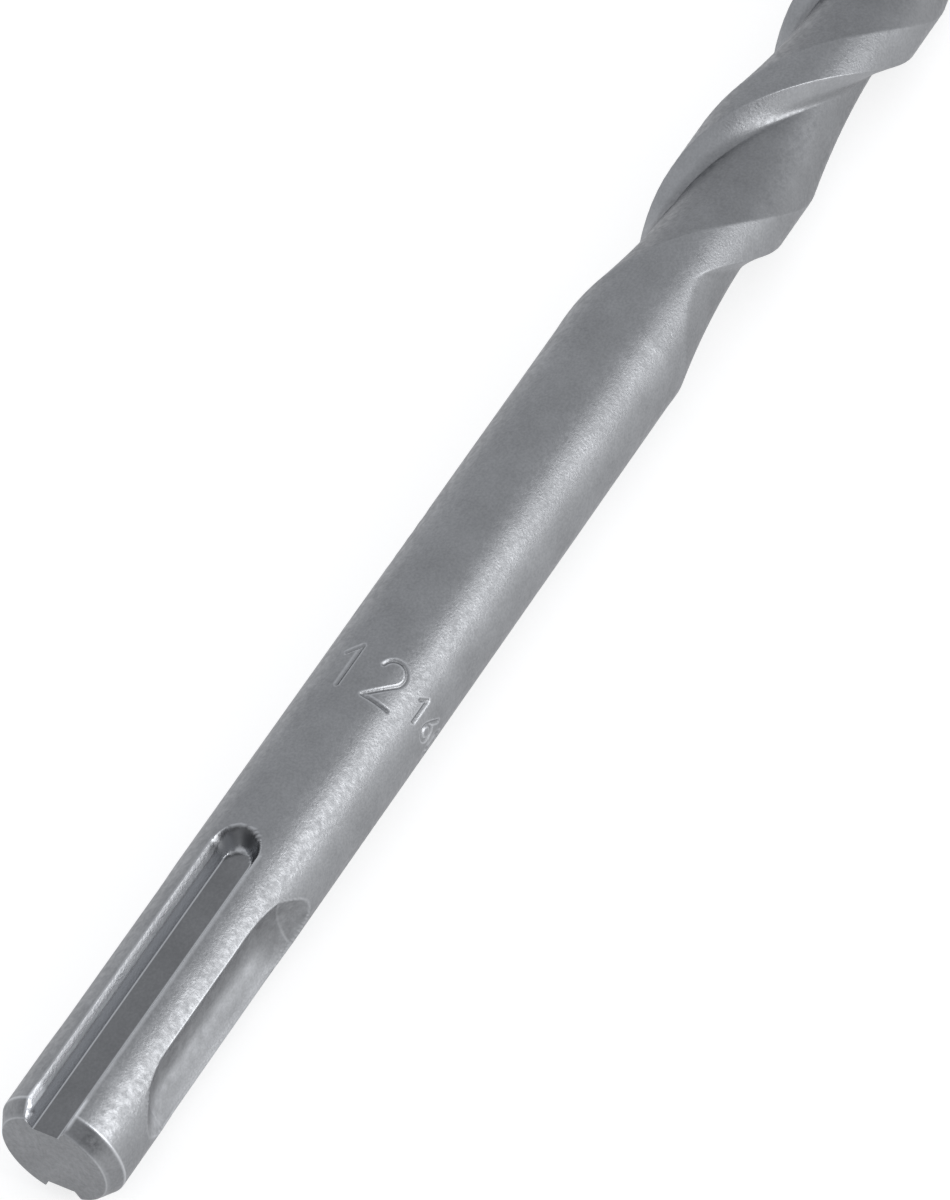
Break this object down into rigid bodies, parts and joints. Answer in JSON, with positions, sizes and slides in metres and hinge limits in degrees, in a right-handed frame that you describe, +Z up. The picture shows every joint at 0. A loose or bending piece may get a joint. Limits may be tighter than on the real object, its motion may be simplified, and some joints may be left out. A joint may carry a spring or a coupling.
{
  "type": "sds plus drill bit",
  "caption": "Hammer drill bit for masonry with a grooved quick-change shank, plain neck, right-hand helical flutes and a brazed carbide tip.",
  "frame": {"origin": "centre of the flat struck face at the shank's end, on the bit's axis", "axes": "+X along the bit's axis from the struck face towards the point, +Z up through one open drive groove, +Y across the flat of the carbide plate"},
  "size_m": [0.16, 0.012, 0.01],
  "materials": {
    "blasted_steel": "bead-blasted, matte grey",
    "carbide": "ground, satin dark grey"
  },
  "bodies": {
    "root": {"drill_body": "blasted_steel", "carbide_tip": "carbide"}
  },
  "joints": []
}
